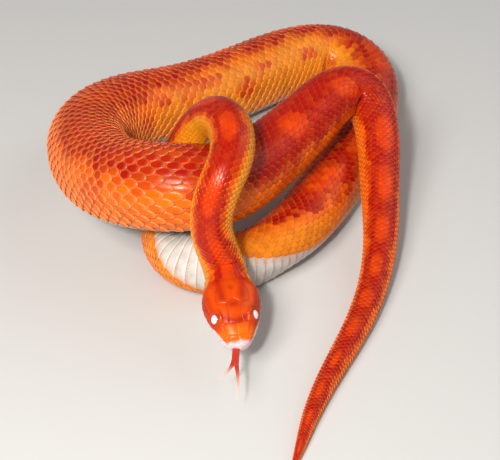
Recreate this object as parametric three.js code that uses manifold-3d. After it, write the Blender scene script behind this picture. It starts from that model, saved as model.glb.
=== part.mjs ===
// A corn snake at life size, as a still: lengths in millimetres, +Z up, the floor at z = 0.
// The body is one long bent form laid along a hand-placed spine. It is parted into a head, a neck,
// a few torso lengths and a tail, each one closed solid, with a thin cut between neighbours.
import * as THREE from 'three';
import { mergeVertices } from 'three/addons/utils/BufferGeometryUtils.js';
import Module from 'manifold-3d';

// Spine, from the nape to the tail tip. Each row is one control point of a smooth curve:
// x, y, z, the body's half width there, and the way its back faces.
const SPINE = [
  [-9, -34, 24, 8.2, [0, -0.1, 1]],
  [-10, -28, 25.5, 7.9, [0, -0.3, 1]],
  [-15, -25.9, 38.8, 7.9, [0, -0.8, 0.6]],
  [-15, -23.9, 49.8, 8, [0, -0.8, 0.6]],
  [-11, -18.9, 59.8, 8.1, [-0.1, -0.8, 0.6]],
  [-6, -7.8, 64.7, 8.4, [0.1, -0.4, 0.9]],
  [-7, 9, 65.9, 8.7, [0.1, -0.3, 1]],
  [-14, 25.4, 61, 9, [-0.2, 0, 1]],
  [-24.5, 31.5, 44, 9.3, [-0.4, 0.3, 0.8]],
  [-29.5, 28, 25, 9.8, [-0.4, 0.75, 0.3]],
  [-35, 18, 12, 10.3, [-0.6, 0.6, -0.5]],
  [-35, 2, 10, 10.8, [-0.6, 0.1, -0.8]],
  [-25, -11, 11, 11.2, [0.3, 0.5, -0.8]],
  [-8, -12, 11, 11.6, [-0.2, 0.95, 0]],
  [10, -2, 11.4, 12.1, [-0.4, 0.7, 0.6]],
  [26, 21, 11.7, 12.6, [-0.2, 0.2, 1]],
  [41, 54, 12.1, 13.2, [0, 0, 1]],
  [54, 91, 13.1, 14.2, [0, 0, 1]],
  [57, 121, 14, 15, [0, 0.1, 1]],
  [42, 141, 15, 15.7, [0, 0.15, 1]],
  [17, 134, 15.5, 16.3, [0, 0.2, 1]],
  [-9, 112, 15.5, 16.8, [0, 0.2, 1]],
  [-34, 96, 16.5, 17.1, [0, 0.2, 1]],
  [-56, 86, 20, 17.2, [0, 0.15, 1]],
  [-70, 68, 24, 17.1, [0, 0, 1]],
  [-71, 41, 29, 17, [0, 0, 1]],
  [-57, 14, 35, 17.3, [0, 0, 1]],
  [-39, 0, 42.9, 17.6, [0, 0, 1]],
  [-22, -2, 43.9, 17.3, [0, -0.05, 1]],
  [-6, 8.4, 38.9, 15.3, [0, -0.2, 1]],
  [12, 31, 39, 13.6, [0, -0.35, 1]],
  [28, 51, 43, 12.6, [0, -0.6, 1]],
  [39, 65, 46, 10.9, [0, -0.85, 0.9]],
  [52, 67, 42, 9.7, [0.1, -0.8, 0.9]],
  [56, 49, 31, 8.9, [0.3, -0.2, 1]],
  [55, 29, 20, 8, [0.2, -0.1, 1]],
  [55, 5, 11, 7, [0, 0, 1]],
  [50, -20, 6, 5.9, [0, 0, 1]],
  [41, -44, 4.6, 5.1, [0, 0, 1]],
  [30, -66, 3.8, 4.3, [0, 0, 1]],
  [22, -86, 2.8, 3.2, [0, 0, 1]],
  [18, -101, 1.7, 1.9, [0, 0, 1]],
  [15, -110, 0.9, 0.8, [0, 0, 1]],
];
const SPINE_SAMPLES = 4000;

// Moves the whole animal so that the origin lies on the floor under the middle of its outline.
const ORIGIN_SHIFT = new THREE.Vector3(8.6, -21.5, 0);

// Cross-section: arched over the back, square-cornered and flatter under the belly.
const WIDE = 1.03;
const ARCHED = 0.97;
const SHALLOW = 0.93;
const BELLY_CORNER = 2.6;

// Where the body is parted, in millimetres along the spine from the nape.
const CUTS = [0, 66, 128, 196, 268, 344, 412, 484, 556, 626, 668, 722];
const NAMES = ['neck', 'torso_1', 'torso_2', 'torso_3', 'torso_4', 'torso_5', 'torso_6',
  'torso_7', 'torso_8', 'torso_9', 'torso_10', 'tail'];
const HALF_GAP = 0.15;
const RING_STEP = 6.2;
const SIDES = 18;

// Head, from the nape to the snout. Each row is one cross-section: distance ahead of the nape,
// half width, height of the crown and depth of the chin from the head's axis, and squareness.
const HEAD = [
  [0, 8.45, 7.95, 7.6, 2.2],
  [3.8, 9.6, 8.0, 7.2, 2.3],
  [8.5, 10.9, 7.9, 6.8, 2.5],
  [12.8, 11.2, 7.7, 6.4, 2.6],
  [17.6, 10.2, 7.2, 6.0, 2.6],
  [22.3, 8.7, 6.1, 5.4, 2.5],
  [26.6, 6.7, 4.7, 4.8, 2.4],
  [29.9, 4.6, 3.4, 4.0, 2.2],
  [31.5, 2.7, 2.2, 3.1, 2],
  [32.2, 0.5, 0.5, 1.2, 2],
];
const HEAD_LENGTH = HEAD.at(-1)[0];
const HEAD_SIDES = 22;
const HEAD_RINGS = 12;
const PLATE_SIDES = 16;
const PLATE_RINGS = 8;

const EYE_RADIUS = 2.5;
const EYE = { ahead: 20, out: 6.5, up: 3 };
const NOSTRIL_RADIUS = 0.55;
const NOSTRIL = { ahead: 28.9, out: 4.9, up: 1.3 };
const CLEARANCE = 0.3;

// Over the eyes the sides of the head lean in, so that the crown is narrower than the lips.
const BROW_LEAN = 0.2;

// The mouth line runs from the snout back to the corner of the jaw, as ahead and up from the axis.
const MOUTH = [[34.2, -1.5], [28.5, -1.7], [22.8, -2.1], [17.1, -2.4], [11.4, -1.9], [7.1, -1.7]];
const MOUTH_GAP = 0.4;
const LIP_DEPTH = 0.7;

// The crown's raised plates, as outlines in ahead and out. All but the frontal plate come in pairs.
const PLATE_RISE = 0.32;
const PLATE_SHRINK = 0.92;
const FRONTAL = [[23.8, 0], [23.4, 2.7], [19, 2.4], [15.8, 2.7], [14, 0],
  [15.8, -2.7], [19, -2.4], [23.4, -2.7]];
const PAIRED_PLATES = {
  parietal: [[13.7, 0.2], [15.6, 2.8], [14.9, 6.2], [11.4, 6.4], [7.8, 4.9], [5.9, 2.2], [6.2, 0.2]],
  supraocular: [[23.2, 2.9], [19, 2.6], [15.9, 2.9], [15.2, 5.8], [19, 6.0], [22.6, 5.6]],
  prefrontal: [[27.8, 0.2], [27.4, 3.3], [25.4, 4.6], [23.7, 5.2], [24, 2.8], [24.1, 0.2]],
  internasal: [[30.2, 0.2], [29.6, 2.6], [28.2, 3.3], [28.2, 0.2]],
};

// The lips' plates lie between these seams, given as distances ahead of the nape.
const UPPER_LIP_SEAMS = [29.6, 26.8, 23.8, 20.8, 17.7, 14.4, 11, 7.8];
const LOWER_LIP_SEAMS = [29.4, 24.5, 19.4, 14.2, 9.2];
const LIP_PLATE_GAP = 0.35;
const UPPER_LIP_TOP = 0.5;
const LOWER_LIP_HEIGHT = 2.0;

// Belly plates. There are fewer than in life, and they are closer together where they show.
const BELLY_PLATE_STEP = 18;
const SHOWN_PLATE_STEP = 6.6;
const SHOWN_BELLY = [84, 190];
const BELLY_PLATE_REACH = 0.86;
const BELLY_PLATE_ROOT = 1.2;
const BELLY_PLATE_RISE = 0.42;
const BELLY_PLATE_VARIATION = 0.25;
const ROOM_UNDER_PLATE = 0.9;
const NEXT_COIL = 45;
const LEAST_PLATED_RADIUS = 6;
const SEED = 11;

// The tongue leaves a notch in the upper lip and forks. Its points are ahead, out and up.
const TONGUE_NOTCH_RADIUS = 1.8;
const TONGUE_STEM = [[29.6, -0.8, -1.5], [34, -1.75, -0.4], [38.8, -2.8, 0.6]];
const TONGUE_NOTCH = [[28.3, -0.5, -1.8], [31.5, -1.25, -1], [35.5, -2.1, -0.1]];
const TONGUE_TINES = [
  [[37.8, -2.8, 0.5], [41, -4.6, 1.7], [45, -9.2, 2.9]],
  [[37.8, -2.5, 0.5], [44.5, -2.2, 1.9], [53.5, -4.3, 1.5]],
];
const TONGUE_WIDTHS = [1.3, 1.2, 0.28];
const TONGUE_FLATNESS = 0.5;

const wasm = await Module();
wasm.setup();

// A smooth curve that is drawn towards its control rows, with its ends on the first and last rows.
class Spine extends THREE.Curve {
  constructor(rows) {
    super();
    this.rows = [rows[0], rows[0], ...rows, rows.at(-1), rows.at(-1)];
    this.spans = this.rows.length - 3;
    this.arcLengthDivisions = SPINE_SAMPLES;
  }

  // The weighted mean, at curve parameter t, of what pick reads from the four rows round t.
  mean(t, pick) {
    const place = Math.min(Math.max(t, 0), 1) * this.spans;
    const first = Math.min(Math.floor(place), this.spans - 1);
    const f = place - first;
    const weights = [
      (1 - f) ** 3 / 6,
      (3 * f ** 3 - 6 * f ** 2 + 4) / 6,
      (-3 * f ** 3 + 3 * f ** 2 + 3 * f + 1) / 6,
      f ** 3 / 6,
    ];
    return weights.reduce((sum, weight, k) => sum + weight * pick(this.rows[first + k]), 0);
  }

  getPoint(t, target = new THREE.Vector3()) {
    return target.set(this.mean(t, (r) => r[0]), this.mean(t, (r) => r[1]), this.mean(t, (r) => r[2]));
  }

  getBack(t) {
    return new THREE.Vector3(
      this.mean(t, (r) => r[4][0]), this.mean(t, (r) => r[4][1]), this.mean(t, (r) => r[4][2]));
  }
}

const spine = new Spine(SPINE);
const bodyLength = spine.getLength();

// The body's frame at a place along it: centre, forward-to-tail direction, side, back and bend.
function frameAt(place) {
  const u = Math.min(Math.max(place / bodyLength, 0), 1);
  const t = spine.getUtoTmapping(u);
  const step = 1 / SPINE_SAMPLES;
  const before = spine.getPoint(t - step);
  const centre = spine.getPoint(t);
  const after = spine.getPoint(t + step);
  const along = after.clone().sub(before).normalize();
  const back = spine.getBack(t);
  back.addScaledVector(along, -back.dot(along)).normalize();
  const side = along.clone().cross(back);
  const travel = after.clone().sub(before).length() / 2;
  const bend = after.add(before).addScaledVector(centre, -2).divideScalar(travel * travel);
  bend.addScaledVector(along, -bend.dot(along));
  return { centre, along, back, side, bend, radius: spine.mean(t, (r) => r[3]) };
}

// On the inside of a tight bend the flank is drawn in, so that the surface never folds over itself.
function drawnIn(offset, bend) {
  const curvature = bend.length();
  if (curvature < 1e-4) return offset;
  const turn = 1 / curvature;
  const inward = bend.clone().multiplyScalar(turn);
  const reach = offset.dot(inward);
  const free = 0.62 * turn;
  if (reach <= free) return offset;
  const room = 0.2 * turn;
  const kept = free + room * (1 - Math.exp(-(reach - free) / room));
  return offset.addScaledVector(inward, kept - reach);
}

// A point of the body's surface. The angle is measured from the middle of the back, and lift is
// how far the point stands off the surface.
function surfacePoint(frame, angle, lift) {
  const across = Math.sin(angle);
  const rise = Math.cos(angle);
  const depth = rise < 0 ? SHALLOW : ARCHED;
  const square = rise < 0
    ? (Math.abs(across) ** BELLY_CORNER + Math.abs(rise) ** BELLY_CORNER) ** (-1 / BELLY_CORNER) : 1;
  const offset = frame.side.clone().multiplyScalar((frame.radius * WIDE + lift) * across * square);
  offset.addScaledVector(frame.back, (frame.radius * depth + lift) * rise * square);
  return drawnIn(offset, frame.bend).add(frame.centre);
}

// Moves every vertex of a geometry by a function of its first place.
function reshape(geometry, move) {
  const position = geometry.getAttribute('position');
  const from = new THREE.Vector3();
  for (let i = 0; i < position.count; i += 1) {
    const to = move(from.fromBufferAttribute(position, i).clone());
    position.setXYZ(i, to.x, to.y, to.z);
  }
  return geometry;
}

function solidOf(geometry) {
  geometry.deleteAttribute('normal');
  geometry.deleteAttribute('uv');
  const merged = mergeVertices(geometry, 1e-4);
  return new wasm.Manifold(new wasm.Mesh({
    numProp: 3,
    vertProperties: Float32Array.from(merged.getAttribute('position').array),
    triVerts: Uint32Array.from(merged.index.array),
  }));
}

// Keeps the largest closed surface of a solid, and hands it back as a geometry.
function geometryOf(solid) {
  const pieces = solid.decompose();
  const largest = pieces.reduce((best, piece) => (piece.volume() > best.volume() ? piece : best));
  const mesh = largest.getMesh();
  const geometry = new THREE.BufferGeometry();
  geometry.setAttribute('position', new THREE.BufferAttribute(mesh.vertProperties, 3));
  geometry.setIndex(new THREE.BufferAttribute(mesh.triVerts, 1));
  geometry.computeVertexNormals();
  return geometry;
}

// One length of the body: a capped cylinder whose rings are carried onto the spine.
function bodyLengthSolid(start, end) {
  const rings = Math.max(2, Math.round((end - start) / RING_STEP));
  const barrel = new THREE.CylinderGeometry(1, 1, 1, SIDES, rings);
  return solidOf(reshape(barrel, (p) => {
    const frame = frameAt(start + (p.y + 0.5) * (end - start));
    if (Math.hypot(p.x, p.z) < 0.5) return frame.centre;
    return surfacePoint(frame, Math.atan2(p.x, p.z), 0);
  }));
}

// The value of one column of the head's sections at a distance ahead of the nape, on a smooth curve.
function headSize(ahead, column) {
  const last = HEAD.length - 1;
  const next = HEAD.findIndex((row) => row[0] > ahead);
  const k = next < 0 ? last - 1 : Math.max(next - 1, 0);
  const [a, b, c, d] = [k - 1, k, k + 1, k + 2].map((i) => HEAD[Math.min(Math.max(i, 0), last)]);
  const f = Math.min(Math.max((ahead - b[0]) / (c[0] - b[0]), 0), 1);
  const slopeIn = ((c[column] - a[column]) / (c[0] - a[0] || 1)) * (c[0] - b[0]);
  const slopeOut = ((d[column] - b[column]) / (d[0] - b[0] || 1)) * (c[0] - b[0]);
  return b[column] * (2 * f ** 3 - 3 * f ** 2 + 1) + slopeIn * (f ** 3 - 2 * f ** 2 + f)
    + c[column] * (-2 * f ** 3 + 3 * f ** 2) + slopeOut * (f ** 3 - f ** 2);
}

const nape = frameAt(0);

// A place in the head's own directions: ahead of the nape, out to its left, and up to its crown.
function headPlace(ahead, out, up) {
  return nape.centre.clone().addScaledVector(nape.along, -ahead)
    .addScaledVector(nape.side, out).addScaledVector(nape.back, up);
}

// A small seeded generator of numbers from 0 to 1, so that each build is the same.
function seeded(seed) {
  let state = seed;
  return () => {
    state = (state * 16807) % 2147483647;
    return state / 2147483647;
  };
}

const vary = seeded(SEED);

// Centres of the body every few millimetres, to ask which coils lie close to a point.
const nearbyFrames = Array.from({ length: Math.floor(bodyLength / 4) }, (_, k) => ({
  place: k * 4, ...frameAt(k * 4),
}));

// True where no other coil touches the belly, so that a raised plate has room.
function hasRoom(place) {
  const frame = frameAt(place);
  return [Math.PI - 0.6, Math.PI, Math.PI + 0.6].every((angle) => {
    const point = surfacePoint(frame, angle, ROOM_UNDER_PLATE);
    return nearbyFrames.every((near) => Math.abs(near.place - place) < NEXT_COIL
      || point.distanceTo(near.centre) > near.radius * WIDE + ROOM_UNDER_PLATE);
  });
}

// One belly plate: a box bent round the belly. Its root is sunk in the body, its sides die into the
// flanks, and its rear edge stands off the surface.
function bellyPlate(place, length) {
  const rise = BELLY_PLATE_RISE * (1 - BELLY_PLATE_VARIATION / 2 + BELLY_PLATE_VARIATION * vary());
  const reach = BELLY_PLATE_REACH * (0.97 + 0.06 * vary());
  const box = new THREE.BoxGeometry(2, 1, 1, 4, 1, 1);
  return solidOf(reshape(box, (p) => {
    const frame = frameAt(place + length * (p.z + 0.5));
    const edge = Math.abs(p.x) ** 4;
    const top = rise * (0.25 + 0.75 * (p.z + 0.5)) * (1 - 0.8 * edge);
    return surfacePoint(frame, Math.PI - p.x * reach, p.y > 0 ? top : -BELLY_PLATE_ROOT);
  }));
}

// The belly plates of one length of the body, from start to end.
function bellyPlates(start, end) {
  const plates = [];
  let place = start + 0.4;
  while (place < end - 2) {
    const shown = place > SHOWN_BELLY[0] && place < SHOWN_BELLY[1];
    const step = shown ? SHOWN_PLATE_STEP : BELLY_PLATE_STEP;
    const radius = frameAt(place).radius;
    const length = Math.min(shown ? step * 0.86 : Math.min(radius * 0.45, step), end - 0.4 - place);
    if (radius > LEAST_PLATED_RADIUS && length > 1.5 && hasRoom(place) && hasRoom(place + length)) {
      plates.push(bellyPlate(place, length));
    }
    place += step;
  }
  return plates;
}

// The head: a capped cylinder whose rings take the head's sections, closer together at the snout.
// Grow widens it all round, by that many millimetres.
function headSolid(grow, sides = HEAD_SIDES, rings = HEAD_RINGS) {
  const barrel = new THREE.CylinderGeometry(1, 1, 1, sides, rings);
  return solidOf(reshape(barrel, (p) => {
    const backwards = p.y + 0.5;
    const ahead = (HEAD_LENGTH - HALF_GAP) * (1 - backwards ** 1.4) + HALF_GAP;
    const place = ahead + (backwards < 0.5 ? grow : 0);
    if (Math.hypot(p.x, p.z) < 0.5) return headPlace(place, 0, 0);
    const angle = Math.atan2(p.x, p.z);
    const across = Math.sin(angle);
    const rise = Math.cos(angle);
    const settle = THREE.MathUtils.smoothstep(ahead, 0, 6);
    const neckSquareness = rise < 0 ? BELLY_CORNER : 2;
    const n = THREE.MathUtils.lerp(neckSquareness, headSize(ahead, 4), settle);
    const square = (Math.abs(across) ** n + Math.abs(rise) ** n) ** (-1 / n);
    const tall = headSize(ahead, rise > 0 ? 2 : 3) + grow;
    const over = THREE.MathUtils.smoothstep(ahead, 8, 14) * (1 - THREE.MathUtils.smoothstep(ahead, 25, 30));
    const lean = 1 - BROW_LEAN * over * Math.max(rise * square, 0);
    const wide = (headSize(ahead, 1) + grow) * lean;
    return headPlace(place, wide * across * square, tall * rise * square);
  }));
}

function ballSolid(radius, centre, fine) {
  const ball = new THREE.SphereGeometry(radius, fine * 2, fine);
  return solidOf(ball.translate(centre.x, centre.y, centre.z));
}

// A flat outline in the head's side view, made a slab right across the head.
function slabAcross(outline, halfWidth) {
  const shape = new THREE.Shape(outline);
  const slab = new THREE.ExtrudeGeometry(shape, { depth: 2 * halfWidth, bevelEnabled: false });
  return solidOf(reshape(slab, (p) => headPlace(p.x, halfWidth - p.z, p.y)));
}

const mouthLine = new THREE.SplineCurve(MOUTH.map(([ahead, up]) => new THREE.Vector2(ahead, up)));

function mouthSlit() {
  const points = mouthLine.getPoints(6);
  const upper = points.map((p) => new THREE.Vector2(p.x, p.y + MOUTH_GAP / 2));
  const lower = points.map((p) => new THREE.Vector2(p.x, p.y - MOUTH_GAP / 2)).reverse();
  return slabAcross([...upper, ...lower], 14);
}

// How high the mouth line is at a distance ahead of the nape.
function mouthUp(ahead) {
  const points = mouthLine.getPoints(40);
  return points.reduce((best, p) => (Math.abs(p.x - ahead) < Math.abs(best.x - ahead) ? p : best)).y;
}

// An outline drawn in towards its own middle.
function shrunk(outline, share) {
  const middle = [0, 1].map((i) => outline.reduce((sum, p) => sum + p[i], 0) / outline.length);
  return outline.map((p) => new THREE.Vector2(
    middle[0] + (p[0] - middle[0]) * share, middle[1] + (p[1] - middle[1]) * share));
}

// A plate of the crown: its outline made a post, which the swollen head then trims.
function crownPlate(outline, hand) {
  const shape = new THREE.Shape(shrunk(outline.map(([ahead, out]) => [ahead, out * hand]), PLATE_SHRINK));
  const post = new THREE.ExtrudeGeometry(shape, { depth: 12, bevelEnabled: false });
  return solidOf(reshape(post, (p) => headPlace(p.x, p.y, p.z)));
}

// The lips' plates of both sides, as slabs right across the head.
function lipPlates() {
  const upper = UPPER_LIP_SEAMS.slice(1).map((back, k) => {
    const front = UPPER_LIP_SEAMS[k];
    return [[front, mouthUp(front) + LIP_PLATE_GAP], [front, UPPER_LIP_TOP],
      [back, UPPER_LIP_TOP], [back, mouthUp(back) + LIP_PLATE_GAP]];
  });
  const lower = LOWER_LIP_SEAMS.slice(1).map((back, k) => {
    const front = LOWER_LIP_SEAMS[k];
    return [[front, mouthUp(front) - LIP_PLATE_GAP], [front, mouthUp(front) - LOWER_LIP_HEIGHT],
      [back, mouthUp(back) - LOWER_LIP_HEIGHT], [back, mouthUp(back) - LIP_PLATE_GAP]];
  });
  return [...upper, ...lower].map((outline) => slabAcross(shrunk(outline, 0.9), 14));
}

function headPlates() {
  const pairs = Object.values(PAIRED_PLATES);
  const crown = [crownPlate(FRONTAL, 1), ...pairs.map((outline) => crownPlate(outline, 1)),
    ...pairs.map((outline) => crownPlate(outline, -1))];
  const posts = wasm.Manifold.union([...crown, ...lipPlates()]);
  return posts.intersect(headSolid(PLATE_RISE, PLATE_SIDES, PLATE_RINGS));
}

// A flattened rod along a curve of head places, its half width going from first to last.
function softRod(points, first, last, sides, rings) {
  const curve = new THREE.QuadraticBezierCurve3(...points.map((p) => new THREE.Vector3(...p)));
  const rod = new THREE.CylinderGeometry(1, 1, 1, sides, rings);
  return solidOf(reshape(rod, (p) => {
    const t = p.y + 0.5;
    const centre = curve.getPoint(t);
    const along = curve.getTangent(t);
    const up = new THREE.Vector3(0, 0, 1);
    up.addScaledVector(along, -up.dot(along)).normalize();
    const side = along.clone().cross(up);
    const half = first + (last - first) * t;
    centre.addScaledVector(side, half * p.x).addScaledVector(up, half * TONGUE_FLATNESS * p.z);
    return headPlace(centre.x, centre.y, centre.z);
  }));
}

function tongueSolid() {
  const [stem, fork, tip] = TONGUE_WIDTHS;
  const tines = TONGUE_TINES.map((points) => softRod(points, fork * 0.75, tip, 8, 6));
  return tines.reduce((all, tine) => all.add(tine), softRod(TONGUE_STEM, stem, fork, 10, 4));
}

function eyePlace(hand) {
  return headPlace(EYE.ahead, hand * EYE.out, EYE.up);
}

function wholeHead() {
  let head = headSolid(0).add(headPlates());
  head = head.subtract(mouthSlit().subtract(headSolid(-LIP_DEPTH)));
  for (const hand of [-1, 1]) {
    head = head.subtract(ballSolid(EYE_RADIUS + CLEARANCE, eyePlace(hand), 6));
    const nostril = headPlace(NOSTRIL.ahead, hand * NOSTRIL.out, NOSTRIL.up);
    head = head.subtract(ballSolid(NOSTRIL_RADIUS, nostril, 3));
  }
  const notch = softRod(TONGUE_NOTCH, TONGUE_NOTCH_RADIUS, TONGUE_NOTCH_RADIUS, 12, 3);
  return head.subtract(notch);
}

// The floor takes a thin slice off whatever lies on it, which leaves small flats at z = 0.
const floorBlock = solidOf(new THREE.BoxGeometry(800, 800, 40).translate(0, 0, -20));

const group = new THREE.Group();
const scales = new THREE.MeshStandardMaterial({ color: 0xd8410f, roughness: 0.45, metalness: 0 });

function addNode(name, solid, material) {
  const geometry = geometryOf(solid).translate(ORIGIN_SHIFT.x, ORIGIN_SHIFT.y, ORIGIN_SHIFT.z);
  const mesh = new THREE.Mesh(geometry, material.clone());
  mesh.name = name;
  group.add(mesh);
}

const eyeSurface = new THREE.MeshStandardMaterial({ color: 0xf2d9d2, roughness: 0.08, metalness: 0 });
const tongueSkin = new THREE.MeshStandardMaterial({ color: 0xd5452f, roughness: 0.35, metalness: 0 });

addNode('head', wholeHead(), scales);
addNode('eye_right', ballSolid(EYE_RADIUS, eyePlace(-1), 8), eyeSurface);
addNode('eye_left', ballSolid(EYE_RADIUS, eyePlace(1), 8), eyeSurface);
addNode('tongue', tongueSolid(), tongueSkin);

NAMES.forEach((name, k) => {
  const start = CUTS[k] + HALF_GAP;
  const end = k + 1 < CUTS.length ? CUTS[k + 1] - HALF_GAP : bodyLength;
  const plated = wasm.Manifold.union([bodyLengthSolid(start, end), ...bellyPlates(start, end)]);
  addNode(name, plated.subtract(floorBlock), scales);
});

export default group;
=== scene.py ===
"""A corn snake at life size, dressed over its parted solids.

The body is a rounded section laid along a smooth spine: a thin skin just inside the solids, with
separate scales and belly plates on it, a sculpted head, eyes and a forked tongue. Sizes are in
millimetres and are turned into metres when a mesh is made.
"""
import math
import bpy
import numpy as np
from numpy.polynomial.polynomial import polyder, polyval
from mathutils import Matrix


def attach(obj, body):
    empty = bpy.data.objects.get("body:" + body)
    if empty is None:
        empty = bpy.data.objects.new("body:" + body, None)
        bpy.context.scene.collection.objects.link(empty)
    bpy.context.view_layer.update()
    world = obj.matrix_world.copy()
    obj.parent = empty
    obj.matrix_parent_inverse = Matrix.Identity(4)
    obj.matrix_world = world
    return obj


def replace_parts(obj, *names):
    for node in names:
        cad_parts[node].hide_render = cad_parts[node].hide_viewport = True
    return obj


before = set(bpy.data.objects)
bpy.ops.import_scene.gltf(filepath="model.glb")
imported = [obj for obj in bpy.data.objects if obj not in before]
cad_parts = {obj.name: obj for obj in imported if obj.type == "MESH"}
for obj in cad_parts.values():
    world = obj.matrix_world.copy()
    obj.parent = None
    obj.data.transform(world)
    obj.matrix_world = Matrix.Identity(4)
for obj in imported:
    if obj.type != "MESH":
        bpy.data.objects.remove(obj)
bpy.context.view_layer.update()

MM = 0.001
SEED = 7

# Spine, from the nape to the tail tip: x, y, z, half width, and the way the back faces (x, y, z).
SPINE = np.array([
    (-9, -34, 24, 8.2, 0, -0.1, 1),
    (-10, -28, 25.5, 7.9, 0, -0.3, 1),
    (-15, -25.9, 38.8, 7.9, 0, -0.8, 0.6),
    (-15, -23.9, 49.8, 8, 0, -0.8, 0.6),
    (-11, -18.9, 59.8, 8.1, -0.1, -0.8, 0.6),
    (-6, -7.8, 64.7, 8.4, 0.1, -0.4, 0.9),
    (-7, 9, 65.9, 8.7, 0.1, -0.3, 1),
    (-14, 25.4, 61, 9, -0.2, 0, 1),
    (-24.5, 31.5, 44, 9.3, -0.4, 0.3, 0.8),
    (-29.5, 28, 25, 9.8, -0.4, 0.75, 0.3),
    (-35, 18, 12, 10.3, -0.6, 0.6, -0.5),
    (-35, 2, 10, 10.8, -0.6, 0.1, -0.8),
    (-25, -11, 11, 11.2, 0.3, 0.5, -0.8),
    (-8, -12, 11, 11.6, -0.2, 0.95, 0),
    (10, -2, 11.4, 12.1, -0.4, 0.7, 0.6),
    (26, 21, 11.7, 12.6, -0.2, 0.2, 1),
    (41, 54, 12.1, 13.2, 0, 0, 1),
    (54, 91, 13.1, 14.2, 0, 0, 1),
    (57, 121, 14, 15, 0, 0.1, 1),
    (42, 141, 15, 15.7, 0, 0.15, 1),
    (17, 134, 15.5, 16.3, 0, 0.2, 1),
    (-9, 112, 15.5, 16.8, 0, 0.2, 1),
    (-34, 96, 16.5, 17.1, 0, 0.2, 1),
    (-56, 86, 20, 17.2, 0, 0.15, 1),
    (-70, 68, 24, 17.1, 0, 0, 1),
    (-71, 41, 29, 17, 0, 0, 1),
    (-57, 14, 35, 17.3, 0, 0, 1),
    (-39, 0, 42.9, 17.6, 0, 0, 1),
    (-22, -2, 43.9, 17.3, 0, -0.05, 1),
    (-6, 8.4, 38.9, 15.3, 0, -0.2, 1),
    (12, 31, 39, 13.6, 0, -0.35, 1),
    (28, 51, 43, 12.6, 0, -0.6, 1),
    (39, 65, 46, 10.9, 0, -0.85, 0.9),
    (52, 67, 42, 9.7, 0.1, -0.8, 0.9),
    (56, 49, 31, 8.9, 0.3, -0.2, 1),
    (55, 29, 20, 8, 0.2, -0.1, 1),
    (55, 5, 11, 7, 0, 0, 1),
    (50, -20, 6, 5.9, 0, 0, 1),
    (41, -44, 4.6, 5.1, 0, 0, 1),
    (30, -66, 3.8, 4.3, 0, 0, 1),
    (22, -86, 2.8, 3.2, 0, 0, 1),
    (18, -101, 1.7, 1.9, 0, 0, 1),
    (15, -110, 0.9, 0.8, 0, 0, 1),
], float)
ORIGIN_SHIFT = np.array((8.6, -21.5, 0.0))

# Cross-section: arched over the back, square-cornered and flatter under the belly.
WIDE, ARCHED, SHALLOW, BELLY_CORNER = 1.03, 0.97, 0.93, 2.6

# Head sections: distance ahead of the nape, half width, crown height, chin depth, squareness.
HEAD = np.array([
    (0, 8.45, 7.95, 7.6, 2.2),
    (3.8, 9.6, 8.0, 7.2, 2.3),
    (8.5, 10.9, 7.9, 6.8, 2.5),
    (12.8, 11.2, 7.7, 6.4, 2.6),
    (17.6, 10.2, 7.2, 6.0, 2.6),
    (22.3, 8.7, 6.1, 5.4, 2.5),
    (26.6, 6.7, 4.7, 4.8, 2.4),
    (29.9, 4.6, 3.4, 4.0, 2.2),
    (31.5, 2.7, 2.2, 3.1, 2),
    (32.2, 0.5, 0.5, 1.2, 2),
], float)
HEAD_LENGTH = HEAD[-1, 0]
# The eye's middle and the nostril's, as ahead, out and up, on the left side.
EYE_PLACE, EYE_RADIUS = np.array((20.0, 6.5, 3.0)), 2.5
NOSTRIL = np.array((28.9, 5.0, 1.3))
# Over the eyes the head's sides lean in, so that the crown is narrower than the lips.
BROW_LEAN = 0.2

# The neck's squareness over the back, and where ahead of the nape the head's has taken over.
ROUND, NECK_BLEND = 2.0, 6.0
# Where the brow's lean sets in and has gone again, ahead of the nape.
BROW_START, BROW_FULL, BROW_EASE, BROW_END = 8.0, 14.0, 25.0, 30.0
# Inside a bend of radius R the flank is free up to one share of R, and squeezed into the next.
FREE_SHARE, SQUEEZE_SHARE = 0.62, 0.2
# The tail closes over the tip's length. The spine is read this far inside its ends.
TIP_LENGTH, SPINE_MARGIN = 2.0, 0.02


def unit(v):
    """Vectors divided by their length, along the last axis."""
    return v / np.maximum(np.linalg.norm(v, axis=-1, keepdims=True), 1e-12)


def smooth(low, high, x):
    """0 below low, 1 above high, and 3t^2 - 2t^3 between them."""
    t = np.clip((x - low) / (high - low), 0, 1)
    return t * t * (3 - 2 * t)


def bell(x, half):
    """A bell of height 1 and the given half width: exp(-(x / half)^2)."""
    return np.exp(-(x / half) ** 2)


# The four weights of a uniform cubic B-spline, one column each, by rising powers of t.
BASIS = np.array([(1, 4, 1, 0), (-3, 0, 3, 0), (3, -6, 3, 0), (-1, 3, -3, 1)]) / 6


def square_to(v, along):
    """Vectors without their part along a direction."""
    return v - (v * along).sum(-1, keepdims=True) * along


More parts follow.
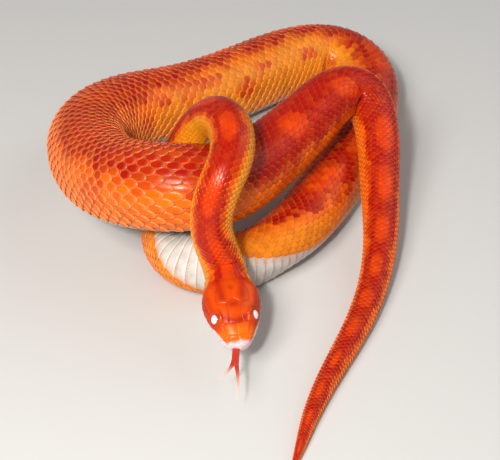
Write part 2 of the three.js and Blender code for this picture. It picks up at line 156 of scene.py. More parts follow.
class Spine:
    """A uniform cubic B-spline with its end rows repeated, asked by the distance along it."""

    def __init__(self, rows, samples=12000):
        self.rows = np.vstack([rows[:1], rows[:1], rows, rows[-1:], rows[-1:]])
        self.spans = len(self.rows) - 3
        self.t = np.linspace(0, self.spans, samples)
        steps = np.diff(self.read(self.t, 0)[:, :3], axis=0)
        self.s = np.concatenate([[0], np.cumsum(np.linalg.norm(steps, axis=1))])
        self.length = self.s[-1]

    def read(self, t, order):
        """The rows blended at t by the cubic B-spline basis, or by its first or second slope."""
        k = np.minimum(t.astype(int), self.spans - 1)
        weights = polyval(t - k, polyder(BASIS, order))
        return sum(weights[i][..., None] * self.rows[k + i] for i in range(4))

    def frame(self, s):
        """Centre, direction to the tail, back, side, bend vector and half width at distances s."""
        t = np.clip(np.interp(s, self.s, self.t), SPINE_MARGIN, self.spans - SPINE_MARGIN)
        value, slope, turn = (self.read(t, order) for order in (0, 1, 2))
        along = unit(slope[..., :3])
        back = unit(square_to(value[..., 4:7], along))
        side = np.cross(along, back)
        pace = (slope[..., :3] ** 2).sum(-1, keepdims=True)
        bend = square_to(turn[..., :3] / np.maximum(pace, 1e-9), along)
        return value[..., :3] + ORIGIN_SHIFT, along, back, side, bend, value[..., 3]


spine = Spine(SPINE)
BODY_LENGTH = spine.length
NAPE, NAPE_ALONG, NAPE_BACK, NAPE_SIDE = (v[0] for v in spine.frame(np.zeros(1))[:4])


def drawn_in(offset, bend):
    """Offsets squeezed on the inside of a tight bend, so that the flank never folds over itself.

    Past the free share a of the bend's radius R, a reach x becomes a + b (1 - exp((a - x) / b)),
    where b is the squeeze share.
    """
    curvature = np.maximum(np.linalg.norm(bend, axis=-1, keepdims=True), 1e-4)
    radius = 1 / curvature
    inward = bend * radius
    reach = (offset * inward).sum(-1, keepdims=True)
    free, room = FREE_SHARE * radius, SQUEEZE_SHARE * radius
    kept = free + room * (1 - np.exp(-np.maximum(reach - free, 0) / room))
    return offset + np.where(reach > free, kept - reach, 0) * inward


def body_point(s, angle, lift):
    """The body's surface at distance s, at an angle from the middle of the back, raised by lift.

    The section is an ellipse over the back and |x|^n + |y|^n = 1, with n the belly's corner, under it.
    """
    centre, _, back, side, bend, radius = spine.frame(s)
    across, rise = np.sin(angle), np.cos(angle)
    n = BELLY_CORNER
    square = np.where(rise < 0, (np.abs(across) ** n + np.abs(rise) ** n) ** (-1 / n), 1)
    depth = np.where(rise < 0, SHALLOW, ARCHED)
    along_tip = np.clip((s - BODY_LENGTH + TIP_LENGTH) / TIP_LENGTH, 0, 1)
    tip = np.sqrt(np.clip(1 - along_tip ** 2, 0, 1))
    wide = (radius * WIDE + lift) * across * square * tip
    tall = (radius * depth + lift) * rise * square * tip
    return centre + drawn_in(wide[..., None] * side + tall[..., None] * back, bend)


def head_size(ahead, column):
    """One column of the head's sections at distances ahead, by a Catmull-Rom style cubic."""
    x, y = HEAD[:, 0], HEAD[:, column]
    k = np.clip(np.searchsorted(x, ahead, side="right") - 1, 0, len(x) - 2)
    before, after = np.maximum(k - 1, 0), np.minimum(k + 2, len(x) - 1)
    span = x[k + 1] - x[k]
    f = np.clip((ahead - x[k]) / span, 0, 1)
    slope_in = (y[k + 1] - y[before]) / (x[k + 1] - x[before]) * span
    slope_out = (y[after] - y[k]) / (x[after] - x[k]) * span
    return (y[k] * (2 * f ** 3 - 3 * f ** 2 + 1) + slope_in * (f ** 3 - 2 * f ** 2 + f)
            + y[k + 1] * (3 * f ** 2 - 2 * f ** 3) + slope_out * (f ** 3 - f ** 2))


def head_place(ahead, out, up):
    """Head directions (ahead of the nape, out to its left, up to its crown) to the shared frame."""
    return (NAPE - ahead[..., None] * NAPE_ALONG + out[..., None] * NAPE_SIDE
            + up[..., None] * NAPE_BACK)


def head_section(ahead, angle, lift):
    """Out and up of the head's surface, a superellipse whose squareness eases into the neck's."""
    across, rise = np.sin(angle), np.cos(angle)
    settle = smooth(0, NECK_BLEND, ahead)
    n = head_size(ahead, 4)
    n = np.where(rise < 0, BELLY_CORNER + (n - BELLY_CORNER) * settle, ROUND + (n - ROUND) * settle)
    square = (np.abs(across) ** n + np.abs(rise) ** n) ** (-1 / n)
    tall = np.where(rise < 0, head_size(ahead, 3), head_size(ahead, 2)) + lift
    over = smooth(BROW_START, BROW_FULL, ahead) * (1 - smooth(BROW_EASE, BROW_END, ahead))
    lean = 1 - BROW_LEAN * over * np.maximum(rise * square, 0)
    return (head_size(ahead, 1) + lift) * lean * across * square, tall * rise * square


def skin_point(s, angle, lift):
    """The whole animal's surface: the head where s is below 0, and the body from there on."""
    out, up = head_section(np.maximum(-s, 0), angle, lift)
    head = head_place(np.maximum(-s, 0), out, up)
    body = body_point(np.maximum(s, 0), angle, lift)
    return np.where((s < 0)[..., None], head, body)


# Mesh making


def quads(rows, columns, wrap):
    """Faces of a grid of points, with each corner's place in the grid for its UV."""
    i, j = np.meshgrid(np.arange(rows - 1), np.arange(columns if wrap else columns - 1), indexing="ij")
    i, j = i.ravel(), j.ravel()
    row = np.stack([i, i, i + 1, i + 1], 1)
    column = np.stack([j, j + 1, j + 1, j], 1)
    return row * columns + column % columns, row, column


def tube(s, sides, start, length):
    """Grid of places and angles of a skin round the whole body, with its faces and bake UV."""
    angles = np.linspace(-math.pi, math.pi, sides, endpoint=False)
    faces, row, column = quads(len(s), sides, True)
    uv = np.stack([(s[row] - start) / length, column / sides], -1)
    return (*np.meshgrid(s, angles, indexing="ij"), faces, uv)


def placed(name, data):
    """A new object in the scene that shows data."""
    item = bpy.data.objects.new(name, data)
    bpy.context.scene.collection.objects.link(item)
    return item


def make_mesh(name, points, faces, values, uv, material):
    """A mesh object in metres from points in millimetres, with named values and a bake UV."""
    mesh = bpy.data.meshes.new(name)
    mesh.from_pydata((points.reshape(-1, 3) * MM).tolist(), [], faces.tolist())
    for key, numbers in values.items():
        layer = mesh.attributes.new(key, "FLOAT", "POINT")
        layer.data.foreach_set("value", np.asarray(numbers, np.float32).ravel())
    layer = mesh.uv_layers.new(name="OFBake")
    layer.data.foreach_set("uv", np.asarray(uv, np.float32).ravel())
    mesh.shade_smooth()
    mesh.materials.append(material)
    piece = placed(name, mesh)
    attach(piece, "root")
    return piece


# Pattern, as values that run over the body


# A ring of scales takes a share of the half width and a bit more. The thin tail adds extra length,
# most at one half width, with a spread, and below a limit.
PITCH_SHARE, PITCH_BASE = 0.215, 0.45
TAIL_EXTRA, TAIL_RADIUS, TAIL_SPREAD, TAIL_LIMIT = 0.5, 5.0, 2.5, 7.4
PLACE_SAMPLES = 9000


def scale_pitch(radius):
    """Length of body taken by one ring of scales: in step with the girth, less so on the thin tail."""
    extra = TAIL_EXTRA * bell(radius - TAIL_RADIUS, TAIL_SPREAD)
    return PITCH_SHARE * radius + PITCH_BASE + extra * (radius < TAIL_LIMIT)


PLACES = np.linspace(-HEAD_LENGTH, BODY_LENGTH, PLACE_SAMPLES)
PLACE_RADIUS = spine.frame(np.maximum(PLACES, 0))[5]
RING_COUNT = np.concatenate([[0], np.cumsum(np.diff(PLACES) / scale_pitch(PLACE_RADIUS)[1:])])
RING_COUNT -= np.interp(0, PLACES, RING_COUNT)

ROWS = 25
BELLY_EDGE = math.radians(128)
VENT = 722
# Rows that end on the tail, two side by side on each flank: the inner row and where the pair ends.
ENDING_ROWS = ((8, VENT + 6), (6, VENT + 40), (4, VENT + 78), (2, VENT + 112))
ROW_TAPER = 14.0


def row_weight(s, row):
    """1 where a row of scales runs at full width, falling to 0 where it ends on the tail."""
    weight = np.ones(np.broadcast(s, row).shape)
    for inner, end in ENDING_ROWS:
        ends = (np.abs(row) == inner) | (np.abs(row) == inner + 1)
        weight = weight * np.where(ends, 1 - smooth(end - ROW_TAPER, end, s), 1)
    return weight


ROW_NUMBERS = np.arange(ROWS) - ROWS // 2
ROW_TABLE = row_weight(PLACES[:, None], ROW_NUMBERS[None])
ROW_TOTAL = ROW_TABLE.sum(1)
ROW_CENTRE = BELLY_EDGE * (2 * (np.cumsum(ROW_TABLE, 1) - ROW_TABLE / 2) / ROW_TOTAL[:, None] - 1)


def row_angle_step(s):
    """The angle that one row of scales takes round the body."""
    return 2 * BELLY_EDGE / np.interp(s, PLACES, ROW_TOTAL)


def scale_size(s):
    """Width of one row of scales in millimetres: it sets how thick a scale is."""
    return row_angle_step(s) * np.interp(s, PLACES, PLACE_RADIUS)


# Spots on the neck and the upper coil: place, half length, then middle and half width in degrees.
# The rest follow in random steps of the girth.
NECK_SPOTS = ((9, 17, 0, 19), (36.5, 7, -10, 21), (62, 7.5, -14, 23), (86, 7, -6, 22))
COIL_SPOTS = ((612, 8, 4, 20), (643, 7, 10, 22), (678, 6.5, 8, 25))
SPOT_STEP, STEP_LEAST, STEP_VARIES, SPOT_GAP = 2.05, 0.85, 0.3, 6.0
# No random spot lies between these places or this near the tail tip.
COIL_CLEAR, CHAIN_STOP = (594, 692), 12
# A random spot's half length as a share of the girth, its half width in degrees, and how they vary.
SPOT_LENGTH, SPOT_LENGTH_VARIES = 0.62, 0.16
SPOT_HALF, SPOT_HALF_VARIES = 21.0, 6.0
# Half width of the dark band of the back, in degrees, and how clear its spots are, by place.
BAND_HALF = ((0, 47), (560, 49), (605, 66), (700, 66), (745, 52), (880, 60))
SPOT_SHARE = ((0, 1), (430, 1), (465, 0.3), (590, 0.3), (603, 1), (880, 1))
# Dark marks on the flanks, in the same terms.
FLANK_MARKS = ((421, 6, -74, 15), (409, 4, -50, 10), (441, 9, -44, 12), (463, 5, -58, 10),
               (477, 6, -88, 14), (492, 5, -62, 9), (352, 8, -62, 12), (380, 5, -58, 9))
# How much earlier the loop's flanks turn yellow, in radians, by place.
EARLY_YELLOW = ((300, 0), (345, 0.28), (440, 0.28), (480, 0))
# How far the markings roll round the body, in degrees, by place. Past LOOP_START spots do too.
ROLL = ((0, 0), (35, 10), (62, 12), (95, 0), (205, 0), (275, -32), (430, -28), (475, 0))
LOOP_START = 200
# How much the tone varies between scales, by place.
TONE_SHARE = ((0, 0.35), (90, 0.45), (150, 1), (580, 1), (610, 0.4), (880, 0.6))
# How yellow the low flanks are, and how pale the rims of scales, by place.
YELLOW = ((0, 1.0), (105, 1.0), (130, 0.8), (300, 0.5), (345, 0.95), (450, 0.9), (490, 0.45),
          (530, 0.12), (600, 0.1), (700, 0.2), (880, 0.2))
PALE_SKIN = ((0, 0.15), (105, 0.2), (200, 0.45), (340, 0.55), (480, 0.85), (540, 1.0), (595, 1.0),
             (612, 0.25), (700, 0.12), (880, 0.2))
# The neck's own flank colour ends between these places, and fades in over this angle.
NECK_START, NECK_END, NECK_FADE = 90, 120, 0.3
# How far the band's edge fades either way, and where the low flanks turn yellow, in radians.
BAND_FADE, LOW_START, LOW_FULL = 0.26, 0.88, 1.65
# Blotches on the flanks lie between these angles, and have this strength.
BLOTCH_START, BLOTCH_FULL, BLOTCH_EASE, BLOTCH_END = 0.9, 1.1, 1.6, 1.9
BLOTCH_SHARE = 0.7
# Where a spot and a mark fade out, 1 being the edge, and the noise that makes a blotch.
SPOT_FADE, MARK_FADE, BLOTCH_FADE = (0.65, 1.3), (0.6, 1.35), (0.5, 1.0)


def by_place(table, s):
    """A value read between the rows (place, value) of a table, at distances s."""
    return np.interp(s, *zip(*table))


def in_radians(rows):
    """Rows (place, half length, middle, half width) with their two angles in radians."""
    return [(s, length, math.radians(mid), math.radians(half)) for s, length, mid, half in rows]


def spot_chain():
    """The pale spots on the back, those of the two tables and the random ones between them."""
    chain = in_radians(NECK_SPOTS)
    rng = np.random.default_rng(SEED)
    s = NECK_SPOTS[-1][0]
    while s < BODY_LENGTH - CHAIN_STOP:
        radius = np.interp(s, PLACES, PLACE_RADIUS)
        s += SPOT_STEP * radius * (STEP_LEAST + STEP_VARIES * rng.random()) + SPOT_GAP
        length = (SPOT_LENGTH + SPOT_LENGTH_VARIES * rng.random()) * radius + 1
        half = math.radians(SPOT_HALF + SPOT_HALF_VARIES * rng.random())
        if not COIL_CLEAR[0] < s < COIL_CLEAR[1]:
            chain.append((s, length, 0.0, half))
    return np.array(chain + in_radians(COIL_SPOTS))


CHAIN = spot_chain()
MARKS = np.array(in_radians(FLANK_MARKS))
SPOT_SQUARENESS = 2.4
# Stands for a place with no mark or seam near.
FAR = 9.0


def nearest(chain, s, angle):
    """How far a place is from the nearest mark of a chain, 1 on its edge: a squarish oval."""
    far, n = np.full(np.shape(s), FAR), SPOT_SQUARENESS
    for centre, length, middle, half in chain:
        oval = np.abs((s - centre) / length) ** n + np.abs((angle - middle) / half) ** n
        far = np.minimum(far, oval ** (1 / n))
    return far


# Waves in a noise, the radius that turns angles into lengths, the sum that counts as 1, a wave's
# least pace, how much it varies, and the span of its shift.
WAVES, WAVE_RADIUS, WAVE_SUM = 9, 16, 4.2
PACE_LEAST, PACE_VARIES, SHIFT_SPAN = 0.6, 0.9, 6.3
# What unsettles the edges of markings: waves (share, seed, size) and a share of the scale's tone.
BAND_NOISE = ((0.13, 3, 17), (0.09, 4, 8)), 0.07
SPOT_NOISE = (), 0.08
YELLOW_NOISE = ((0.12, 5, 40),), 0
BLOTCH_NOISE = ((1, 11, 26),), 0.2
MARK_NOISE = ((0.2, 6, 9),), 0.15


def wave_noise(s, angle, seed, size):
    """A smooth random value, about -1 to 1: a sum of sine waves over the body, each about size long."""
    rng = np.random.default_rng(seed)
    total = np.zeros(np.shape(s))
    for _ in range(WAVES):
        pace = (PACE_LEAST + PACE_VARIES * rng.random()) * 2 * math.pi / size
        turn = rng.random() * 2 * math.pi
        travel = math.cos(turn) * s + math.sin(turn) * angle * WAVE_RADIUS
        total += np.sin(pace * travel + rng.random() * SHIFT_SPAN)
    return total / WAVE_SUM


def pattern(s, angle, tone):
    """Masks from 0 to 1 over the body: the dark band of the back, its spots, dark marks on the
    flanks, the yellow low flanks, and how pale the skin is round the scales."""
    def unsettled(kind):
        waves, tone_share = kind
        return sum(share * wave_noise(s, angle, *wave) for share, *wave in waves) + tone_share * tone

    roll = np.radians(by_place(ROLL, s))
    turn = np.abs(angle + roll)
    half = np.radians(by_place(BAND_HALF, s))
    band = 1 - smooth(half - BAND_FADE, half + BAND_FADE, turn + unsettled(BAND_NOISE))
    spot = nearest(CHAIN, s, angle + roll * (s > LOOP_START)) + unsettled(SPOT_NOISE)
    spot = (1 - smooth(*SPOT_FADE, spot)) * by_place(SPOT_SHARE, s)
    lower = turn + by_place(EARLY_YELLOW, s) + unsettled(YELLOW_NOISE)
    low = smooth(LOW_START, LOW_FULL, lower) * by_place(YELLOW, s)
    neck = 1 - smooth(NECK_START, NECK_END, s)
    low = np.maximum(low, neck * smooth(half, half + NECK_FADE, turn))
    flank = smooth(BLOTCH_START, BLOTCH_FULL, turn) * (1 - smooth(BLOTCH_EASE, BLOTCH_END, turn))
    blotch = smooth(*BLOTCH_FADE, unsettled(BLOTCH_NOISE)) * flank * BLOTCH_SHARE * (1 - neck)
    marks = 1 - smooth(*MARK_FADE, nearest(MARKS, s, angle) + unsettled(MARK_NOISE))
    return {"band": band, "spot": spot, "blotch": np.maximum(blotch, marks), "low": low,
            "rim": by_place(PALE_SKIN, s)}


# Skin, scales and belly plates


# Where the skin begins, the step between its rings, its sides, and its depth in scale widths.
SKIN_START, SKIN_STEP, SKIN_SIDES, SKIN_DEPTH = -3.0, 1.6, 64, 0.15
TIP_RINGS, BELLY_FADE = 9, 0.05
# What would dip through the floor is held this far above it.
SKIN_FLOOR, SCALE_FLOOR, BELLY_FLOOR = 0.05, 0.03, 0.02


def body_skin(material):
    """The thin skin under the scales: it shows only between them."""
    s = np.concatenate([np.arange(SKIN_START, BODY_LENGTH - TIP_LENGTH, SKIN_STEP),
                        BODY_LENGTH - TIP_LENGTH * np.linspace(1, 0, TIP_RINGS) ** 2])
    grid_s, angle, faces, uv = tube(s, SKIN_SIDES, SKIN_START, BODY_LENGTH - SKIN_START)
    points = skin_point(grid_s, angle, -SKIN_DEPTH * scale_size(grid_s))
    points[..., 2] = np.maximum(points[..., 2], SKIN_FLOOR)
    values = pattern(grid_s, angle, 0 * grid_s)
    values["belly"] = smooth(BELLY_EDGE - BELLY_FADE, BELLY_EDGE + BELLY_FADE, np.abs(angle))
    values["tone"] = 0 * grid_s
    skin = make_mesh("body_skin", points, faces, values, uv, material)
    return skin


SCALE_ALONG = np.array([0, 0.2, 0.4, 0.58, 0.74, 0.87, 0.965, 1.0])
SCALE_ACROSS = np.array([-1, -0.95, -0.6, -0.2, 0.2, 0.6, 0.95, 1.0])
# A scale's start and reach in rings, its half width in rows, and the share its root is wide.
SCALE_START, SCALE_REACH, SCALE_HALF_WIDTH, ROOT_WIDTH = -0.22, 1.46, 0.74, 0.62
# The tip's outline is w = (1 - t^a)^b, with t from mid-length to the tip.
TIP_SQUARENESS, TIP_BLUNTNESS = 2.4, 0.6
# Shares of a scale's width: the root's depth, the rise to the tip, the fall of the sides, how scales
# differ, how far the edge folds down, and the keel.
ROOT_DEPTH, TIP_RISE, SIDE_FALL, RISE_VARIES, EDGE_FOLD, KEEL = 0.26, 0.36, 0.05, 0.02, 0.10, 0.03
# The keel's half width, where it fades in along the scale, and where it fades out on the flanks.
KEEL_HALF, KEEL_FADE, KEEL_FLANKS = 0.12, (0.2, 0.5), (0.9, 1.3)
# A scale's markings are those this far past its root, with a share of its own length and width. Its
# pale rim fades in on the way out, and starts this far to the tip.
MARK_AHEAD, MARK_SHARE, RIM_FADE, RIM_TIP = 1.0, 0.3, (0.60, 0.95), 0.45
# A plate's patch on the bake map, as shares of its room along and round the body.
PATCH_ALONG, PATCH_ACROSS, BELLY_PATCH = 0.9, 0.45, 0.48
# Where the middle and the low rows begin on the head, and how far from the tail tip plates end.
NAPE_ROWS, LOW_ROWS, LOW_ROW, PLATE_STOP = -5.0, -7.5, 8, 3


def plate_profile(u):
    """Half width of a scale along its length: it widens from the root and ends in a round tip."""
    root = ROOT_WIDTH + (1 - ROOT_WIDTH) * np.sin(math.pi * np.minimum(u, 0.5))
    tip = np.clip(1 - np.clip((u - 0.5) / 0.5, 0, 1) ** TIP_SQUARENESS, 0, 1) ** TIP_BLUNTNESS
    return np.where(u < 0.5, root, tip)


def each(values):
    """One value per plate, shaped to go with every point of its grid."""
    return values[:, None, None]


def plate_faces(root, first, last, u, around):
    """Faces of many plates, each a grid of its own, and their bake UV: round the body it is given by
    around, and along it by the plate's root, between the rings first and last."""
    rows, columns = u.shape
    faces, i, j = quads(rows, columns, False)
    start, end = np.interp([first - 1, last + 2], RING_COUNT, PLACES)
    pitch = scale_pitch(np.interp(root, PLACES, PLACE_RADIUS))
    along = each(root) + PATCH_ALONG * each(pitch) * (u[i, j] - 0.5)
    uv = np.stack([(along - start) / (end - start), np.broadcast_to(around[:, i, j], along.shape)], -1)
    faces = (each(np.arange(len(root))) * rows * columns + faces).reshape(-1, 4)
    return faces, uv.reshape(-1, 4, 2)


def scale_piece(name, first, last, material):
    """All the scales of the rings first to last, as one mesh.

    Scales sit at whole ring numbers on even rows and half-way between on odd rows. A plate rises
    from its root, below the skin, to its free tip, and its outermost points fold down as its edge.
    """
    ring, row = np.meshgrid(np.arange(first, last), ROW_NUMBERS, indexing="ij")
    ring, row = ring.ravel() + 0.5 * (row.ravel() % 2), row.ravel()
    root = np.interp(ring, RING_COUNT, PLACES)
    keep = (row_weight(root, row) > 0.5) & (root < BODY_LENGTH - PLATE_STOP)
    keep &= root > np.where(np.abs(row) > LOW_ROW, LOW_ROWS, NAPE_ROWS)
    ring, row, root = ring[keep], row[keep], root[keep]
    rng = np.random.default_rng(SEED + first)
    tone = rng.uniform(-1, 1, len(ring)) * by_place(TONE_SHARE, root)
    size = scale_size(root)
    step = row_angle_step(root)

    u, v = np.meshgrid(SCALE_ALONG, SCALE_ACROSS, indexing="ij")
    edge = (u == 1) | (np.abs(v) == 1)
    place = np.interp(each(ring) + SCALE_START + SCALE_REACH * u, RING_COUNT, PLACES)
    centre = np.stack([np.interp(place, PLACES, ROW_CENTRE[:, k]) for k in range(ROWS)])
    centre = np.take_along_axis(centre, (row + ROWS // 2)[None, :, None, None], 0)[0]
    angle = centre + each(step) * SCALE_HALF_WIDTH * plate_profile(u) * v
    lift = -ROOT_DEPTH + TIP_RISE * u - SIDE_FALL * v ** 2 + RISE_VARIES * each(tone)
    lift = lift - np.where(edge, EDGE_FOLD, 0)
    keel = KEEL * bell(v, KEEL_HALF) * smooth(*KEEL_FADE, u)
    lift = lift + keel * (1 - smooth(*KEEL_FLANKS, np.abs(centre)))
    points = skin_point(place, angle, lift * each(size))
    points[..., 2] = np.maximum(points[..., 2], SCALE_FLOOR)

    near = each(root) + MARK_AHEAD
    mixed_s = near + MARK_SHARE * (place - near)
    mixed_angle = centre + MARK_SHARE * (angle - centre)
    tones = np.broadcast_to(each(tone), place.shape)
    values = pattern(mixed_s, mixed_angle, tones)
    outer = np.maximum(np.abs(v), np.clip((u - RIM_TIP) / (1 - RIM_TIP), 0, 1))
    values |= {"rim": smooth(*RIM_FADE, outer) * values["rim"], "tone": tones}

    nearest_place = np.interp(root, PLACES, np.arange(len(PLACES))).astype(int)
    around = each(ROW_CENTRE[nearest_place, row + ROWS // 2]) + PATCH_ACROSS * each(step) * v
    faces, uv = plate_faces(root, first, last, u, around / (2 * math.pi) + 0.5)
    piece = make_mesh(name, points, faces, values, uv, material)
    return piece


BELLY_ALONG = np.array([0, 0.3, 0.6, 0.85, 0.965, 1.0])
BELLY_ACROSS = np.linspace(-1, 1, 17)
# A belly plate's start and reach in rings, its lap under the scales in rows, the first one's place,
# the share by which each narrows, and where its pale rim fades in.
BELLY_START, BELLY_REACH, BELLY_LAP, BELLY_FIRST, BELLY_TAPER = -0.15, 1.3, 0.6, -1.5, 0.10
BELLY_RIM_FADE = 0.8, 1.0
# Shares of a scale's width: root depth, rise to the free edge, its fold, the fall at the ends.
BELLY_DEPTH, BELLY_RISE, BELLY_FOLD, BELLY_FALL = 0.24, 0.26, 0.09, 0.10


def belly_piece(name, first, last, material):
    """The broad belly plates, one for each ring of scales, each lapping over the next."""
    ring = np.arange(first, last)
    root = np.interp(ring, RING_COUNT, PLACES)
    keep = (root > BELLY_FIRST) & (root < BODY_LENGTH - PLATE_STOP)
    ring, root = ring[keep], root[keep]
    u, v = np.meshgrid(BELLY_ALONG, BELLY_ACROSS, indexing="ij")
    place = np.interp(each(ring) + BELLY_START + BELLY_REACH * u, RING_COUNT, PLACES)
    reach = math.pi - BELLY_EDGE + BELLY_LAP * each(row_angle_step(root))
    angle = math.pi + reach * v * (1 - BELLY_TAPER * u ** 3)
    size = each(scale_size(root))
    lift = -BELLY_DEPTH + BELLY_RISE * u - np.where(u == 1, BELLY_FOLD, 0) - BELLY_FALL * np.abs(v) ** 6
    points = body_point(np.maximum(place, 0), angle, lift * size)
    points[..., 2] = np.maximum(points[..., 2], BELLY_FLOOR)
    faces, uv = plate_faces(root, first, last, u, 0.5 + BELLY_PATCH * v[None])
    values = {"edge": np.broadcast_to(np.abs(v), place.shape),
              "rim": np.broadcast_to(smooth(*BELLY_RIM_FADE, u), place.shape)}
    piece = make_mesh(name, points, faces, values, uv, material)
    return piece


# Head

# The way the left eye looks, as ahead, out and up.
EYE_AXIS = np.array((0.2, 0.836, 0.51))
MOUTH_LINE = ((34.2, -1.5), (28.5, -1.7), (22.8, -2.1), (17.1, -2.4), (11.4, -1.9), (7.1, -1.7))
# Seams between the crown's plates, as (ahead, out), the same on both sides.
CROWN_SEAMS = (
    ((30.8, 0), (23.9, 0)),
    ((13.9, 0), (6.2, 0)),
    ((31.0, 0), (30.2, 2.4), (29.2, 4.1)),
    ((28.4, 0), (28.0, 3.5)),
    ((24.0, 0), (23.6, 2.8), (23.2, 5.6)),
    ((23.6, 2.8), (21.4, 2.4), (19, 2.4), (15.8, 2.8)),
    ((15.8, 2.8), (13.9, 0)),
    ((15.8, 2.8), (15.0, 6.6)),
    ((15.0, 6.4), (11.4, 6.5), (7.8, 4.9), (5.8, 2.2), (6.2, 0)),
    ((28.6, 3.7), (25.6, 5.0), (23.2, 5.6)),
)
# Seams on the sides, as (ahead, up): the top of the upper lip, and the plates round the eye.
LIP_TOP = ((30.8, 0.2), (27.5, 0.0), (25.0, 0.2), (23.5, 0.5), (21.5, 0.4), (18.5, 0.3), (15.5, 0.4),
           (11.5, 0.7), (8.2, 0.6))
SIDE_SEAMS = (
    LIP_TOP,
    ((27.5, 0.0), (27.4, 3.2)),
    ((25.2, 0.2), (25.2, 3.9)),
    ((17.0, 2.6), (14.8, 2.7)),
    ((14.8, 0.4), (14.8, 4.9)),
    ((14.8, 2.6), (11.2, 2.8)),
    ((11.2, 0.7), (11.0, 5.0)),
)
UPPER_LIP_SEAMS = (29.6, 27.2, 24.7, 22.0, 19.4, 16.5, 13.5, 10.3)
LOWER_LIP_SEAMS = (30.0, 27.9, 25.6, 23.2, 20.5, 17.8, 15.0, 12.0, 9.1)
CHIN_SEAMS = (
    ((31.0, 0), (6.6, 0)),
    ((30.0, 0), (29.5, 2.3)),
    ((29.3, 1.5), (24.7, 2.8), (20, 3.4), (13.3, 3.2), (8.6, 2.3)),
    ((20.1, 0), (19.4, 3.4)),
    ((29.5, 2.4), (24.7, 4.5), (19, 6.6), (13.3, 7.4), (8.6, 7.2)),
)
# How far down the lower lip's plates reach, how far both cross the mouth, how much their seams lean,
# and from which angle each lip's seams begin.
LIP_HALF, LIP_CROSS, LIP_LEAN, UPPER_TURN, LOWER_TURN = 2.4, 0.2, 0.12, 0.9, 1.5


def line_distance(x, y, line):
    """Distance in the plane from points to a line of straight lengths."""
    best = np.full(np.shape(x), 1e9)
    for (ax, ay), (bx, by) in zip(line[:-1], line[1:]):
        dx, dy = bx - ax, by - ay
        t = np.clip(((x - ax) * dx + (y - ay) * dy) / (dx * dx + dy * dy), 0, 1)
        best = np.minimum(best, np.hypot(x - ax - t * dx, y - ay - t * dy))
    return best


# The head's zones, as angles from the middle of the crown, and the angle over which each fades.
CROWN_END, FLANK_START, FLANK_END, UNDER_START, ZONE_FADE = 1.05, 0.95, 2.15, 1.95, 0.2
# Plates begin this far ahead of the nape, and the mouth line this far.
PLATES_START, PLATES_FULL, MOUTH_START, MOUTH_FULL = 6.5, 8.5, 7.0, 9.5
# A plate's middle stands up and its seams are grooves of this half width and depth.
PLATE_RISE, PLATE_ROUND, SEAM_DEPTH, SEAM_HALF = 0.10, 0.9, 0.17, 0.17
LIP_RISE, LIP_MIDDLE, LIP_ROUND, LIP_FROM = 0.16, 0.75, 0.5, (1.2, 1.4)
MOUTH_DEPTH, MOUTH_HALF, MOUTH_SHADE = 0.55, 0.2, 0.22
# Round the eye, by the distance from its axis: height of the lid, its ring, and the open socket.
LID_HEIGHT, RING_RISE, RING_RADIUS, RING_HALF = 1.36, 0.20, 2.75, 0.36
LID_SLOPE, LID_START, LID_END = 0.10, 3.2, 4.4
SOCKET, SOCKET_DEPTH = (1.98, 2.22), 1.3
LID_SEAM, LID_SEAM_RADIUS, LID_SEAM_HALF, LID_FADE = 0.8, 3.35, 0.16, (2.7, 4.5)
NOSTRIL_RIM, RIM_RADIUS, RIM_HALF = 0.14, 0.85, 0.3
# HOLE_HALF is the half width of the nostrils' painted shade.
NOSTRIL_DEPTH, NOSTRIL_HALF, HOLE_HALF = 0.8, 0.42, 0.5
# The notch where the tongue leaves: middle, half width, depth, and where it fades in.
NOTCH_OUT, NOTCH_HALF, NOTCH_DEPTH = -1.2, 1.25, 1.1
NOTCH_AHEAD, NOTCH_UP = (28.6, 30.6), (-2.4, -1.4)


def seam_distance(ahead, out, up, turn, mouth):
    """Distance to the nearest seam between plates, in millimetres."""
    def past(edge):
        return smooth(edge, edge + ZONE_FADE, turn)

    wide = np.abs(out)
    flank = past(FLANK_START) * (1 - past(FLANK_END))
    zones = ((CROWN_SEAMS, wide, 1 - past(CROWN_END)), (SIDE_SEAMS, up, flank),
             (CHIN_SEAMS, wide, past(UNDER_START)))
    lip_top = np.interp(ahead, *zip(*LIP_TOP[::-1]))
    upper_lip = (mouth > -LIP_CROSS) & (up < lip_top) & (turn > UPPER_TURN)
    lower_lip = (mouth < LIP_CROSS) & (mouth > -LIP_HALF) & (turn > LOWER_TURN)
    seam = np.full(np.shape(ahead), FAR)
    for lines, height, zone in zones:
        for line in lines:
            seam = np.minimum(seam, line_distance(ahead, height, line) + FAR * (1 - zone))
    lips = ((UPPER_LIP_SEAMS, -LIP_LEAN, upper_lip), (LOWER_LIP_SEAMS, LIP_LEAN, lower_lip))
    for places, lean, lip in lips:
        for place in places:
            seam = np.minimum(seam, np.abs(ahead - place + lean * mouth) + np.where(lip, 0, FAR))
    return seam


